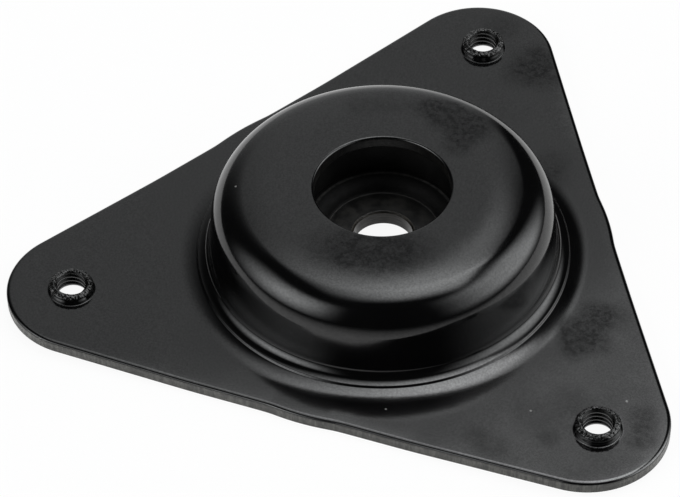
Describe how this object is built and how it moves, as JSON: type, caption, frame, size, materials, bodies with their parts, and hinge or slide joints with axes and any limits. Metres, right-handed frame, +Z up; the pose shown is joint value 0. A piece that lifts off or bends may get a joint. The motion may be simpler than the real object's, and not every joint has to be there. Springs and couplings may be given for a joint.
{
  "type": "strut mount",
  "caption": "Pressed steel strut mount: eared plate with a drawn dome and tapped collars, holding a rod plate in bonded rubber.",
  "frame": {"origin": "centre of the screw circle, on the dome's axis, in the plate's upper face", "axes": "+Z up along the dome's axis, out of the dome's top; +Y towards one ear"},
  "size_m": [0.1618, 0.1458, 0.0246],
  "materials": {
    "black_paint": "satin",
    "rubber": "matte",
    "dark_steel": "satin"
  },
  "bodies": {
    "root": {"top_plate": "black_paint", "rubber_body": "rubber", "rod_plate": "dark_steel"}
  },
  "joints": []
}
